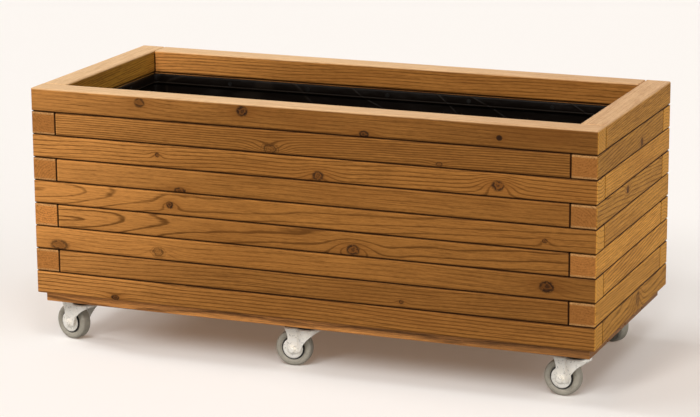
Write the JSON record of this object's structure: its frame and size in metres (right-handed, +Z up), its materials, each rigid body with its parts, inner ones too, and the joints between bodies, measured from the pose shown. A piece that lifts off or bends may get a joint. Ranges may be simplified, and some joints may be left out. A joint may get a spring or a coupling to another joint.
{
  "type": "rolling planter",
  "caption": "Long timber planter box of stacked beams that overlap by turns at the corners, lined with black film, on a recessed board floor and swivelling trailing casters.",
  "frame": {"origin": "on the ground under the middle of the box", "axes": "+X along the box to the right, +Y from the front to the back, +Z up"},
  "size_m": [1.2, 0.516, 0.547],
  "materials": {
    "timber": "planed softwood, oiled",
    "board_timber": "planed softwood, oiled",
    "dowel_timber": "turned beech",
    "liner_film": "black film, slight sheen",
    "zinc": "bright zinc plate",
    "steel": "plain",
    "hub_plastic": "moulded",
    "tyre_rubber": "grey rubber, matt"
  },
  "bodies": {
    "planter_box": {"course_1_front": "timber", "course_1_back": "timber", "course_1_sides": "timber", "course_2_front": "timber", "course_2_back": "timber", "course_2_sides": "timber", "course_3_front": "timber", "course_3_back": "timber", "course_3_sides": "timber", "course_4_front": "timber", "course_4_back": "timber", "course_4_sides": "timber", "course_5_front": "timber", "course_5_back": "timber", "course_5_sides": "timber", "course_6_front": "timber", "course_6_back": "timber", "course_6_sides": "timber", "course_7_front": "timber", "course_7_back": "timber", "course_7_sides": "timber", "course_8_front": "timber", "course_8_back": "timber", "course_8_sides": "timber", "course_9_front": "timber", "course_9_back": "timber", "course_9_sides": "timber", "dowels": "dowel_timber", "floor_boards": "board_timber", "floor_screws": "steel", "liner": "liner_film", "liner_tacks": "steel", "caster_plates": "zinc", "caster_screws": "zinc", "kingpins": "steel", "ball_races": "steel"},
    "swivel_front_left": {"fork_front_left": "zinc", "axle_front_left": "zinc"},
    "wheel_front_left": {"hub_front_left": "hub_plastic", "tyre_front_left": "tyre_rubber"},
    "swivel_front_middle": {"fork_front_middle": "zinc", "axle_front_middle": "zinc"},
    "wheel_front_middle": {"hub_front_middle": "hub_plastic", "tyre_front_middle": "tyre_rubber"},
    "swivel_front_right": {"fork_front_right": "zinc", "axle_front_right": "zinc"},
    "wheel_front_right": {"hub_front_right": "hub_plastic", "tyre_front_right": "tyre_rubber"},
    "swivel_back_left": {"fork_back_left": "zinc", "axle_back_left": "zinc"},
    "wheel_back_left": {"hub_back_left": "hub_plastic", "tyre_back_left": "tyre_rubber"},
    "swivel_back_middle": {"fork_back_middle": "zinc", "axle_back_middle": "zinc"},
    "wheel_back_middle": {"hub_back_middle": "hub_plastic", "tyre_back_middle": "tyre_rubber"},
    "swivel_back_right": {"fork_back_right": "zinc", "axle_back_right": "zinc"},
    "wheel_back_right": {"hub_back_right": "hub_plastic", "tyre_back_right": "tyre_rubber"}
  },
  "joints": [
    {"name": "swivel_front_left", "type": "hinge", "parent": "planter_box", "child": "swivel_front_left", "pos_m": [-0.53, -0.186, 0.083], "axis": [0, 0, 1], "continuous": true},
    {"name": "roll_front_left", "type": "hinge", "parent": "swivel_front_left", "child": "wheel_front_left", "pos_m": [-0.55898, -0.17824, 0.0375], "axis": [-0.2588, -0.9659, 0], "continuous": true},
    {"name": "swivel_front_middle", "type": "hinge", "parent": "planter_box", "child": "swivel_front_middle", "pos_m": [-0.021, -0.186, 0.083], "axis": [0, 0, 1], "continuous": true},
    {"name": "roll_front_middle", "type": "hinge", "parent": "swivel_front_middle", "child": "wheel_front_middle", "pos_m": [-0.05093, -0.18809, 0.0375], "axis": [0.0698, -0.9976, 0], "continuous": true},
    {"name": "swivel_front_right", "type": "hinge", "parent": "planter_box", "child": "swivel_front_right", "pos_m": [0.546, -0.186, 0.083], "axis": [0, 0, 1], "continuous": true},
    {"name": "roll_front_right", "type": "hinge", "parent": "swivel_front_right", "child": "wheel_front_right", "pos_m": [0.51611, -0.18339, 0.0375], "axis": [-0.0872, -0.9962, 0], "continuous": true},
    {"name": "swivel_back_left", "type": "hinge", "parent": "planter_box", "child": "swivel_back_left", "pos_m": [-0.529, 0.186, 0.083], "axis": [0, 0, 1], "continuous": true},
    {"name": "roll_back_left", "type": "hinge", "parent": "swivel_back_left", "child": "wheel_back_left", "pos_m": [-0.55893, 0.18809, 0.0375], "axis": [-0.0698, -0.9976, 0], "continuous": true},
    {"name": "swivel_back_middle", "type": "hinge", "parent": "planter_box", "child": "swivel_back_middle", "pos_m": [-0.021, 0.186, 0.083], "axis": [0, 0, 1], "continuous": true},
    {"name": "roll_back_middle", "type": "hinge", "parent": "swivel_back_middle", "child": "wheel_back_middle", "pos_m": [-0.04969, 0.19477, 0.0375], "axis": [-0.2924, -0.9563, 0], "continuous": true},
    {"name": "swivel_back_right", "type": "hinge", "parent": "planter_box", "child": "swivel_back_right", "pos_m": [0.529, 0.186, 0.083], "axis": [0, 0, 1], "continuous": true},
    {"name": "roll_back_right", "type": "hinge", "parent": "swivel_back_right", "child": "wheel_back_right", "pos_m": [0.50251, 0.20008, 0.0375], "axis": [-0.4695, -0.8829, 0], "continuous": true}
  ]
}
